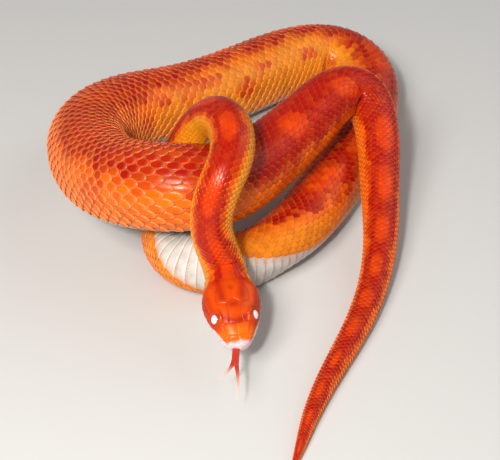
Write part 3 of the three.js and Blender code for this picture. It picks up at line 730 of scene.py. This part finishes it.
def head_relief(ahead, out, up, angle):
    """How far the head's surface is raised or sunk, how close it is to a seam (0 to 1, which also
    carries painted shade in the eye's socket), the nostrils' mask of painted shade, and the height over
    the mouth line."""
    turn, wide = np.abs(angle), np.abs(out)
    mouth = up - np.interp(ahead, *zip(*MOUTH_LINE[::-1]))
    seam = seam_distance(ahead, out, up, turn, mouth)
    front = smooth(PLATES_START, PLATES_FULL, ahead)
    near = bell(seam, SEAM_HALF) * front
    lift = (PLATE_RISE * (1 - bell(seam, PLATE_ROUND)) - SEAM_DEPTH * near) * front

    away = np.abs(mouth)
    open_front = smooth(MOUTH_START, MOUTH_FULL, ahead) * smooth(*LIP_FROM, turn)
    lips = LIP_RISE * bell(away - LIP_MIDDLE, LIP_ROUND) - MOUTH_DEPTH * bell(away, MOUTH_HALF)
    lift += open_front * lips
    near = np.maximum(near, open_front * bell(away, MOUTH_SHADE))

    here = np.stack([ahead, wide, up], -1)
    offset = here - EYE_PLACE
    height = offset @ EYE_AXIS
    reach = np.linalg.norm(square_to(offset, EYE_AXIS), axis=-1)
    outward = height > 0
    lid = LID_HEIGHT + RING_RISE * bell(reach - RING_RADIUS, RING_HALF)
    lid = lid - LID_SLOPE * smooth(LID_START, LID_END, reach)
    near_eye = (1 - smooth(*LID_FADE, reach)) * outward
    lift = lift * (1 - near_eye) + (lid - height) * near_eye
    socket = (1 - smooth(*SOCKET, reach)) * outward
    lift -= SOCKET_DEPTH * socket
    lid_seam = LID_SEAM * bell(reach - LID_SEAM_RADIUS, LID_SEAM_HALF) * outward
    # The sunk socket is darkened too: painted shade.
    near = np.max((near * (1 - near_eye), lid_seam, socket), axis=0)

    nostril = np.linalg.norm(here - NOSTRIL, axis=-1)
    lift += NOSTRIL_RIM * bell(nostril - RIM_RADIUS, RIM_HALF)
    lift -= NOSTRIL_DEPTH * bell(nostril, NOSTRIL_HALF)
    notch = np.exp(-(np.abs(out - NOTCH_OUT) / NOTCH_HALF) ** 4)
    lift -= NOTCH_DEPTH * notch * smooth(*NOTCH_AHEAD, ahead) * smooth(*NOTCH_UP, up)
    return lift, near, bell(nostril, HOLE_HALF), mouth


# The head's dark marks, each with its strength, place and half width: a bar before the eyes that
# bends back at its ends, a disc between the eyes, a dot behind them, the two arms of a spear that
# spread to the rear, and a stripe on the cheek. Pairs say where a mark fades in or out.
BAR_SHARE, BAR_AHEAD, BAR_HALF, BAR_BEND, BAR_OUT = 0.85, 23.2, 1.1, 0.10, (6.5, 4.0)
DISC_SHARE, DISC_AHEAD, DISC_HALF, DISC_WIDEN = 0.7, 16.6, 1.5, 0.55
DOT_SHARE, DOT_AHEAD, DOT_HALF = 0.6, 9.4, 1.1
SPEAR_SHARE, SPEAR_OUT, SPEAR_HALF, SPEAR_SPREAD, SPEAR_TIP = 0.8, 3.5, 1.5, 0.13, 16
SPEAR_AHEAD, SPEAR_TURN = (17, 13), (1.5, 1.1)
CHEEK_SHARE, CHEEK_UP, CHEEK_HALF = 0.75, 1.6, 1.3
CHEEK_FRONT, CHEEK_REAR, CHEEK_TURN = (17, 15.5), (3, 8), (1.0, 1.2)
# The bright snout, the darker sides, and where the neck's markings take over.
SNOUT_AHEAD, SIDE_SHARE, SIDE_TURN, REAR_AHEAD = (23.0, 27), 0.45, (0.75, 1.05), (9.5, 2.0)


def head_pattern(ahead, out, up, angle):
    """Masks for the head's markings: dark marks, the bright snout, and the neck's yellow flanks."""
    wide, turn = np.abs(out), np.abs(angle)
    bar = BAR_SHARE * bell(ahead - BAR_AHEAD + BAR_BEND * wide ** 2, BAR_HALF) * smooth(*BAR_OUT, wide)
    disc = DISC_SHARE * bell(np.hypot(ahead - DISC_AHEAD, out * DISC_WIDEN), DISC_HALF)
    dot = DOT_SHARE * bell(np.hypot(ahead - DOT_AHEAD, out), DOT_HALF)
    spear = bell(wide - SPEAR_OUT - SPEAR_SPREAD * (SPEAR_TIP - ahead), SPEAR_HALF)
    spear = SPEAR_SHARE * spear * smooth(*SPEAR_AHEAD, ahead) * smooth(*SPEAR_TURN, turn)
    cheek = bell(up - CHEEK_UP, CHEEK_HALF) * smooth(*CHEEK_FRONT, ahead) * smooth(*CHEEK_REAR, ahead)
    cheek = CHEEK_SHARE * cheek * smooth(*CHEEK_TURN, turn)
    bright = smooth(*SNOUT_AHEAD, ahead)
    side = SIDE_SHARE * smooth(*SIDE_TURN, turn) * (1 - bright)
    neck = pattern(-ahead, angle, 0 * ahead)
    rear = smooth(*REAR_AHEAD, ahead)
    dark = np.max((bar, disc, dot, spear, cheek), axis=0) * (1 - rear)
    dark = dark + neck["band"] * (1 - neck["spot"]) * rear
    return np.maximum(dark, side * (1 - rear)), bright, neck["low"] * (1 - neck["band"]) * rear


HEAD_ROWS, HEAD_COLUMNS, HEAD_CROWDING = 264, 352, 1.35
# The head runs on under the neck's scales, this far past the nape. They lie over its crown and its
# lower sides up to here, with their fade, and press it down by this much.
HEAD_UNDERLAP, CROWN_OVERLAP, SIDE_OVERLAP, OVERLAP_FADE = 1.5, 6.0, 8.5, (-1.2, 0.6)
OVERLAP_DEPTH, NAPE_DEPTH, NAPE_FADE = 0.35, 0.25, (0, 2)
# The angle that parts crown from sides there, how far the scales pass the belly's edge, and the
# length over which the snout closes.
OVERLAP_TURN, PAST_EDGE, NOSE_CLOSE = 1.2, 0.1, 0.02
# The pale lips: half height, what it gains to the front, the fade of its edge, and the snout's front.
LIP_PALE, LIP_PALE_GAIN, LIP_PALE_FADE, SNOUT_FROM = 1.9, 1.3, 0.8, (29.6, 30.8)
LIP_GAIN_AHEAD, LIP_TURN, LIP_AHEAD = (19, 24), (1.0, 1.3), (5, 9)


def head_skin(material):
    """The head as one fine surface, with its plates, lips, mouth line, nostrils and eye rims."""
    t = np.linspace(0, 1, HEAD_ROWS)
    s = -HEAD_LENGTH + (HEAD_UNDERLAP + HEAD_LENGTH) * t ** HEAD_CROWDING
    grid_s, angle, faces, uv = tube(s, HEAD_COLUMNS, -HEAD_LENGTH, HEAD_LENGTH + 2)
    ahead = np.maximum(-grid_s, 0)
    out, up = head_section(ahead, angle, 0.0)
    lift, near, hole, mouth = head_relief(ahead, out, up, angle)
    turn = np.abs(angle)
    past = ahead - np.where(turn > OVERLAP_TURN, SIDE_OVERLAP, CROWN_OVERLAP)
    under_scales = (1 - smooth(*OVERLAP_FADE, past)) * (turn < BELLY_EDGE + PAST_EDGE)
    lift = lift * (1 - under_scales) - OVERLAP_DEPTH * under_scales
    lift -= NAPE_DEPTH * (1 - smooth(*NAPE_FADE, ahead))
    points = skin_point(grid_s, angle, lift)
    nose = smooth(HEAD_LENGTH - NOSE_CLOSE, HEAD_LENGTH, ahead)[..., None]
    points = points * (1 - nose) + nose * points[:1].mean(1, keepdims=True)
    dark, bright, low = head_pattern(ahead, out, up, angle)
    lip_height = LIP_PALE + LIP_PALE_GAIN * smooth(*LIP_GAIN_AHEAD, ahead)
    lip = smooth(lip_height, lip_height - LIP_PALE_FADE, np.abs(mouth))
    lip = lip * smooth(*LIP_TURN, turn) * smooth(*LIP_AHEAD, ahead)
    # seam: dark joints between plates, with painted shade in the eye's socket and along the mouth line.
    values = {"dark": dark, "bright": bright, "seam": near, "hole": hole, "low": low,
              "lip": np.maximum(lip, smooth(*SNOUT_FROM, ahead)), "turn": turn}
    skin = make_mesh("head_skin", points, faces, values, uv, material)
    return skin


EYE_RINGS, EYE_SIDES = 40, 64


def eye_ball(name, sign, material):
    """One eye: a ball whose axis looks out, a little ahead and up, with the ring round its middle."""
    centre = head_place(*EYE_PLACE * (1, sign, 1))
    axis = unit(-EYE_AXIS[0] * NAPE_ALONG + sign * EYE_AXIS[1] * NAPE_SIDE + EYE_AXIS[2] * NAPE_BACK)
    first = unit(np.cross(axis, NAPE_BACK))
    second = np.cross(axis, first)
    turns = np.linspace(0, 2 * math.pi, EYE_SIDES, endpoint=False)
    polar, turn = np.meshgrid(np.linspace(0, math.pi, EYE_RINGS), turns, indexing="ij")
    flat = np.cos(turn)[..., None] * first + np.sin(turn)[..., None] * second
    points = centre + EYE_RADIUS * (np.cos(polar)[..., None] * axis + np.sin(polar)[..., None] * flat)
    faces, row, column = (part[:, ::-1] for part in quads(EYE_RINGS, EYE_SIDES, True))
    uv = np.stack([row / (EYE_RINGS - 1), column / EYE_SIDES], -1)
    ball = make_mesh(name, points, faces, {"polar": polar}, uv, material)
    return ball


# The tongue's stem and tines as curves through (ahead, out, up), with half widths.
TONGUE_STEM = ((29.6, -0.8, -0.8), (34, -1.75, 0.2), (39.2, -2.85, 0.65))
TONGUE_TINES = (
    ((37.0, -2.9, 0.35), (41, -4.4, 1.6), (45.2, -9.3, 2.9)),
    ((37.0, -2.3, 0.35), (44.5, -2.2, 1.9), (53.7, -4.3, 1.5)),
)
STEM_HALF, FORK_HALF, TINE_SHARE, TIP_HALF, TONGUE_FLATNESS = 1.4, 1.4, 0.72, 0.14, 0.5
# The groove along the tongue's top, as a share of its height and as an angle, and where along a
# tine its pale tip fades in.
GROOVE_DEPTH, GROOVE_HALF, PALE_TIP = 0.35, 0.5, (0.25, 0.9)
STEM_RINGS, STEM_SIDES, TINE_RINGS, TINE_SIDES = 24, 20, 30, 14


def bent_rod(points, first, last, rings, sides):
    """A flattened rod along a quadratic curve through head places, with closed ends."""
    t = np.concatenate([[0], np.linspace(0, 1, rings), [1]])
    a, b, c = (np.array(p, float) for p in points)
    u = t[:, None]
    centre = a * (1 - u) ** 2 + 2 * b * u * (1 - u) + c * u ** 2
    along = unit(2 * (1 - u) * (b - a) + 2 * u * (c - b))
    up = unit(square_to(np.array((0, 0, 1.0)), along))
    side = np.cross(along, up)
    half = (first + (last - first) * t)[:, None, None]
    half[0] = half[-1] = 0
    turn = np.linspace(0, 2 * math.pi, sides, endpoint=False)[None, :, None]
    groove = 1 - GROOVE_DEPTH * bell(turn - math.pi / 2, GROOVE_HALF)
    points = (centre[:, None] + half * np.cos(turn) * side[:, None]
              + half * TONGUE_FLATNESS * groove * np.sin(turn) * up[:, None])
    surface = head_place(points[..., 0], points[..., 1], points[..., 2])
    faces, row, column = quads(len(t), sides, True)
    pale = np.repeat(smooth(*PALE_TIP, t) if last < FORK_HALF else 0 * t, sides)
    return surface.reshape(-1, 3), faces, pale, np.stack([row / (len(t) - 1), column / sides], -1)


def tongue_mesh(material):
    """The forked tongue: a grooved stem and two tines that run out to fine pale tips."""
    rods = [bent_rod(TONGUE_STEM, STEM_HALF, FORK_HALF, STEM_RINGS, STEM_SIDES)]
    for points in TONGUE_TINES:
        rods.append(bent_rod(points, TINE_SHARE * FORK_HALF, TIP_HALF, TINE_RINGS, TINE_SIDES))
    points, faces, pale, uv = zip(*rods)
    starts = np.cumsum([0] + [len(part) for part in points])
    faces = np.concatenate([part + start for part, start in zip(faces, starts)])
    uv = np.concatenate([(part + (0, k)) / (1, len(rods)) for k, part in enumerate(uv)])
    values = {"pale": np.concatenate(pale)}
    tongue = make_mesh("tongue_flesh", np.concatenate(points), faces, values, uv, material)
    return tongue


# Materials


def srgb(red, green, blue):
    """An sRGB colour from 0 to 255 as linear RGBA."""
    channels = np.array((red, green, blue)) / 255
    linear = np.where(channels <= 0.04045, channels / 12.92, ((channels + 0.055) / 1.055) ** 2.4)
    return (*linear.tolist(), 1.0)


class Graph:
    """A short way to write a node tree: each call adds a node and gives back its first output."""

    def __init__(self, tree):
        self.tree = tree

    def feed(self, node, inputs):
        """Link outputs to a node's inputs, and set the inputs that take a constant."""
        for key, value in inputs.items():
            socket = node.inputs[key]
            if isinstance(value, bpy.types.NodeSocket):
                self.tree.links.new(value, socket)
            else:
                socket.default_value = value

    def add(self, kind, settings=None, inputs=None, output=0):
        made = self.tree.nodes.new("ShaderNode" + kind)
        for key, value in (settings or {}).items():
            setattr(made, key, value)
        self.feed(made, inputs or {})
        return made.outputs[output]

    def value(self, name):
        """A named value that is kept on the mesh's points."""
        return self.add("Attribute", {"attribute_name": name}, output="Fac")

    def math(self, operation, first, second):
        return self.add("Math", {"operation": operation}, {0: first, 1: second})

    def times(self, first, second):
        return self.math("MULTIPLY", first, second)

    def smooth(self, low, high, value):
        """The node form of smooth() above."""
        return self.add("MapRange", {"interpolation_type": "SMOOTHSTEP"},
                        {"Value": value, "From Min": low, "From Max": high})

    def mix(self, amount, first, second, blend="MIX"):
        settings = {"data_type": "RGBA", "blend_type": blend}
        return self.add("Mix", settings, {0: amount, 6: first, 7: second}, output=2)


def new_group(name, inputs, outputs):
    """A node group with named inputs (name, socket type, default) and outputs (name, socket type)."""
    tree = bpy.data.node_groups.new(name, "ShaderNodeTree")
    for key, kind, default in inputs:
        socket = tree.interface.new_socket(key, in_out="INPUT", socket_type=kind)
        socket.default_value = default
    for key, kind in outputs:
        tree.interface.new_socket(key, in_out="OUTPUT", socket_type=kind)
    start = tree.nodes.new("NodeGroupInput")
    end = tree.nodes.new("NodeGroupOutput")
    return Graph(tree), start.outputs, end


def new_material(name):
    """An empty material with its Principled BSDF, and the graph to add to."""
    material = bpy.data.materials.new(name)
    material.use_nodes = True
    shader = material.node_tree.nodes["Principled BSDF"]
    return material, Graph(material.node_tree), shader


FLOAT, COLOUR = "NodeSocketFloat", "NodeSocketColor"
# The values on the mesh that the pattern's colour is mixed from.
MASKS = ("band", "spot", "blotch", "low", "rim", "tone")
BACK_RED = srgb(166, 16, 0)
SPOT_ORANGE = srgb(206, 54, 0)
BLOTCH_RED = srgb(188, 40, 0)
FLANK_ORANGE = srgb(228, 96, 2)
LOW_YELLOW = srgb(220, 136, 22)
SCALE_LIGHT, SCALE_DARK = srgb(250, 130, 20), srgb(120, 8, 0)
SEAM_PINK = srgb(242, 138, 76)
# The belly's white is partly the plates' own cream and partly painted shade: it is greyed because the
# underside lies in shade. The chin takes it too.
SHADED_BELLY_WHITE = srgb(194, 189, 181)
BELLY_PINK = srgb(198, 160, 140)
BELLY_RIM = srgb(250, 238, 226)
CROWN_RED, SNOUT_ORANGE, MARK_RED = srgb(202, 66, 0), srgb(234, 100, 2), srgb(164, 22, 0)
LIP_PINK, PLATE_SEAM, NOSTRIL_SHADE = srgb(226, 198, 200), srgb(130, 20, 4), srgb(60, 10, 8)
TONGUE_RED, TONGUE_LIGHT, TONGUE_TIP = srgb(172, 34, 20), srgb(196, 60, 38), srgb(238, 196, 170)
# The eye from its middle out, in half turns: pale pupil, dark edge and red ring.
EYE_STOPS = ((0.0, srgb(244, 222, 224)), (0.235, srgb(238, 208, 212)), (0.26, srgb(120, 52, 50)),
             (0.29, srgb(196, 74, 40)), (0.36, srgb(120, 40, 34)))
# How strongly blotches, light and dark scales, and rims change the colour, how far light and dark
# go, and how much less of a rim the dark band has.
BLOTCH_AMOUNT, LIGHT_AMOUNT, LIGHT_REACH, DARK_AMOUNT, DARK_REACH = 0.8, 0.35, 0.5, 0.3, 0.6
RIM_AMOUNT, BAND_RIM_LOSS = 0.75, 0.5
# Noise scales per metre, and the height of the skin's fine bumps in metres.
COARSE, FINE, TONGUE_GRAIN, BUMP_HEIGHT = 260.0, 1900.0, 900.0, 0.00006
# What all scaled pieces share: a dry skin with a warm glint and a little light below it.
DRY_SKIN = {"Specular IOR Level": 0.3, "Specular Tint": (1.0, 0.80, 0.70, 1.0),
            "Subsurface Weight": 0.06, "Subsurface Radius": (0.0012, 0.0005, 0.0003),
            "Subsurface Scale": 1.0}
WET_EYE = {"Roughness": 0.08, "Coat Weight": 0.6, "Coat Roughness": 0.03}
# Roughness and strength of the fine bumps, for each scaled finish.
SCALE_FINISH, SKIN_FINISH = (0.25, 0.35), (0.5, 0.5)
BELLY_FINISH, HEAD_FINISH = (0.36, 0.3), (0.3, 0.25)
TONGUE_ROUGHNESS, FLOOR_ROUGHNESS = 0.28, 0.7
# How much pink the skin gains, how strong the mottling is, where the belly plates' ends turn pink,
# how pale their rims are, where the chin begins as an angle, and how dark the head's seams are.
SKIN_PINK, MOTTLING, BELLY_ENDS, BELLY_RIM_AMOUNT = 0.06, 0.12, (0.55, 1.0), 0.35
CHIN_TURN, SEAM_AMOUNT = (2.0, 2.4), 0.25


def pattern_group():
    """Colour of the scaled body from its masks, before the small noise."""
    inputs = [(key.capitalize(), FLOAT, 0.0) for key in MASKS]
    g, value, end = new_group("snake pattern colour", inputs, [("Color", COLOUR)])
    base = g.mix(value["Low"], FLANK_ORANGE, LOW_YELLOW)
    base = g.mix(g.times(value["Blotch"], BLOTCH_AMOUNT), base, BLOTCH_RED)
    base = g.mix(value["Band"], base, BACK_RED)
    base = g.mix(g.times(value["Spot"], value["Band"]), base, SPOT_ORANGE)
    tones = ((1.0, LIGHT_AMOUNT, LIGHT_REACH, SCALE_LIGHT), (-1.0, DARK_AMOUNT, DARK_REACH, SCALE_DARK))
    for sign, amount, reach, colour in tones:
        tone = g.math("MAXIMUM", g.times(value["Tone"], sign), 0.0)
        base = g.mix(g.times(tone, amount), base, g.mix(reach, base, colour))
    plain = g.math("SUBTRACT", 1.0, g.times(value["Band"], BAND_RIM_LOSS))
    rim = g.times(g.times(value["Rim"], plain), RIM_AMOUNT)
    g.feed(end, {"Color": g.mix(rim, base, SEAM_PINK)})
    return g.tree


def skin_noise_group():
    """Fine mottling and the small bumps of dry skin, from the point on the object."""
    inputs = [("Color", COLOUR, (1, 1, 1, 1)), ("Amount", FLOAT, MOTTLING)]
    g, value, end = new_group("skin noise", inputs, [("Color", COLOUR), ("Height", FLOAT)])
    place = g.add("TexCoord", output="Object")
    coarse = g.add("TexNoise", None, {"Vector": place, "Scale": COARSE, "Detail": 3.0})
    fine = g.add("TexNoise", None, {"Vector": place, "Scale": FINE, "Detail": 2.0})
    shade = g.add("MapRange", None, {"Value": coarse, "From Min": 0.3, "From Max": 0.7,
                                     "To Min": -1.0, "To Max": 1.0})
    change = g.math("ADD", 1.0, g.times(shade, value["Amount"]))
    grey = g.add("CombineColor", None, {0: change, 1: change, 2: change})
    g.feed(end, {"Color": g.mix(1.0, value["Color"], grey, "MULTIPLY"), "Height": fine})
    return g.tree


PATTERN, SKIN_NOISE = pattern_group(), skin_noise_group()


def body_colour(g):
    """The pattern group fed from the values on the mesh."""
    inputs = {key.capitalize(): g.value(key) for key in MASKS}
    return g.add("Group", {"node_tree": PATTERN}, inputs)


def skin_colour(g):
    """The pattern again, paler and pinker, and whitish under the belly."""
    return g.mix(g.value("belly"), g.mix(SKIN_PINK, body_colour(g), SEAM_PINK), BELLY_PINK)


def belly_colour(g):
    """White plates greyed by painted shade, pink at their ends and pale at their free edge."""
    colour = g.mix(g.smooth(*BELLY_ENDS, g.value("edge")), SHADED_BELLY_WHITE, BELLY_PINK)
    return g.mix(g.times(g.value("rim"), BELLY_RIM_AMOUNT), colour, BELLY_RIM)


def head_colour(g):
    """The crown's red to the snout's orange, with the marks, lips, chin, seams and nostrils over it."""
    colour = g.mix(g.value("bright"), CROWN_RED, SNOUT_ORANGE)
    for key, over in (("low", LOW_YELLOW), ("dark", MARK_RED), ("lip", LIP_PINK)):
        colour = g.mix(g.value(key), colour, over)
    # The chin takes the belly's white, greyed with painted shade.
    colour = g.mix(g.smooth(*CHIN_TURN, g.value("turn")), colour, SHADED_BELLY_WHITE)
    # Dark seams between plates. The same colour is painted shade in the eye's socket and along the
    # mouth line.
    colour = g.mix(g.times(g.value("seam"), SEAM_AMOUNT), colour, PLATE_SEAM)
    # The nostrils' near black is painted shade.
    return g.mix(g.value("hole"), colour, NOSTRIL_SHADE)


def scaled_material(name, colour, roughness, strength):
    """The dry, satin look that all scaled pieces share, over what colour() mixes."""
    material, g, shader = new_material(name)
    noise = g.add("Group", {"node_tree": SKIN_NOISE}, {"Color": colour(g)}).node
    normal = g.add("Bump", None, {"Height": noise.outputs["Height"], "Strength": strength,
                                  "Distance": BUMP_HEIGHT})
    g.feed(shader, {"Base Color": noise.outputs["Color"], "Normal": normal, "Roughness": roughness})
    g.feed(shader, DRY_SKIN)
    return material


def eye_material():
    """Wet rings of colour round the eye's axis, by the angle from it."""
    material, g, shader = new_material("eye")
    ramp = g.add("ValToRGB", None, {"Fac": g.math("DIVIDE", g.value("polar"), math.pi)}).node
    line = ramp.color_ramp
    line.elements[0].position, line.elements[0].color = EYE_STOPS[0]
    line.elements[1].position, line.elements[1].color = EYE_STOPS[-1]
    for position, colour in EYE_STOPS[1:-1]:
        line.elements.new(position).color = colour
    g.feed(shader, {"Base Color": ramp.outputs[0]})
    g.feed(shader, WET_EYE)
    return material


def tongue_material():
    """A mottled red that turns pale to the tips."""
    material, g, shader = new_material("tongue")
    place = g.add("TexCoord", output="Object")
    noise = g.add("TexNoise", None, {"Vector": place, "Scale": TONGUE_GRAIN})
    colour = g.mix(g.value("pale"), g.mix(noise, TONGUE_RED, TONGUE_LIGHT), TONGUE_TIP)
    g.feed(shader, {"Base Color": colour, "Roughness": TONGUE_ROUGHNESS})
    return material


# Building the snake

SCALES = scaled_material("corn snake scales", body_colour, *SCALE_FINISH)
SKIN = scaled_material("skin between scales", skin_colour, *SKIN_FINISH)
BELLY = scaled_material("belly plates", belly_colour, *BELLY_FINISH)
HEAD_PLATES = scaled_material("head plates", head_colour, *HEAD_FINISH)
EYE, TONGUE = eye_material(), tongue_material()

FLESH = ["neck"] + [f"torso_{k}" for k in range(1, 11)] + ["tail"]
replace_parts(body_skin(SKIN), *FLESH)
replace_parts(head_skin(HEAD_PLATES), "head")
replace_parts(eye_ball("eye_left_ball", 1, EYE), "eye_left")
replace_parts(eye_ball("eye_right_ball", -1, EYE), "eye_right")
# The first ring that has scales, the first with a belly plate, and the last.
FIRST_RING, FIRST_BELLY_RING, LAST_RING = -5, -2, int(RING_COUNT[-1])
PARTS = 5
splits = np.linspace(FIRST_RING, LAST_RING, PARTS + 1).astype(int)
for k in range(PARTS):
    scale_piece(f"scales_{k + 1}", splits[k], splits[k + 1], SCALES)
belly_piece("belly_plates", FIRST_BELLY_RING, LAST_RING, BELLY)

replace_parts(tongue_mesh(TONGUE), "tongue")

# Floor, light and camera


FLOOR_HALF, FLOOR_GREY = 3.0, srgb(202, 200, 196)


def floor_plane():
    """A plain pale floor far wider than the snake."""
    mesh = bpy.data.meshes.new("floor")
    corners = [(x * FLOOR_HALF, y * FLOOR_HALF, 0) for x, y in ((-1, -1), (1, -1), (1, 1), (-1, 1))]
    mesh.from_pydata(corners, [], [(0, 1, 2, 3)])
    floor = placed("floor", mesh)
    material, g, shader = new_material("floor")
    g.feed(shader, {"Base Color": FLOOR_GREY, "Roughness": FLOOR_ROUGHNESS})
    mesh.materials.append(material)


def soft_light(name, place, size, watts, colour):
    """A square area light at place, facing the snake, in metres."""
    lamp = bpy.data.lights.new(name, "AREA")
    lamp.shape, lamp.size, lamp.energy, lamp.color = "SQUARE", size, watts, colour
    light = placed(name, lamp)
    light.location = place
    way = np.array(CAMERA_TARGET) - np.array(place)
    light.rotation_euler = (math.acos(-way[2] / np.linalg.norm(way)), 0, math.atan2(-way[0], way[1]))


CAMERA_DISTANCE, CAMERA_RISE = 0.560, math.radians(40)
CAMERA_TARGET = (ORIGIN_SHIFT[0] * MM, ORIGIN_SHIFT[1] * MM, 0.020)
SENSOR, FOCAL_PIXELS, PICTURE_WIDTH = 36.0, 1372.0, 500.0
# Lights: name, place and size in metres, watts, colour.
LIGHTS = (
    ("key", (-0.35, -0.60, 0.80), 0.40, 7.8, (1, 0.97, 0.93)),
    ("flash", (-0.13, -0.55, 0.56), 0.06, 3.6, (1, 1, 1)),
    ("fill", (0.7, 0.2, 0.6), 0.8, 2.4, (0.94, 0.97, 1)),
)
WORLD = {"Color": (0.80, 0.82, 0.85, 1), "Strength": 0.26}


def camera():
    """The photo's view: level with the picture's x axis and looking down at 40 degrees."""
    data = bpy.data.cameras.new("camera")
    data.sensor_width = SENSOR
    data.lens = SENSOR * FOCAL_PIXELS / PICTURE_WIDTH
    data.clip_start = 0.02
    eye = placed("camera", data)
    x, y, z = CAMERA_TARGET
    back, rise = CAMERA_DISTANCE * math.cos(CAMERA_RISE), CAMERA_DISTANCE * math.sin(CAMERA_RISE)
    eye.location = (x, y - back, z + rise)
    eye.rotation_euler = (math.pi / 2 - CAMERA_RISE, 0, 0)
    bpy.context.scene.camera = eye


floor_plane()
for light_row in LIGHTS:
    soft_light(*light_row)
camera()
bpy.context.scene.view_settings.view_transform = "Standard"
world = bpy.data.worlds.new("studio")
world.use_nodes = True
Graph(world.node_tree).feed(world.node_tree.nodes["Background"], WORLD)
bpy.context.scene.world = world
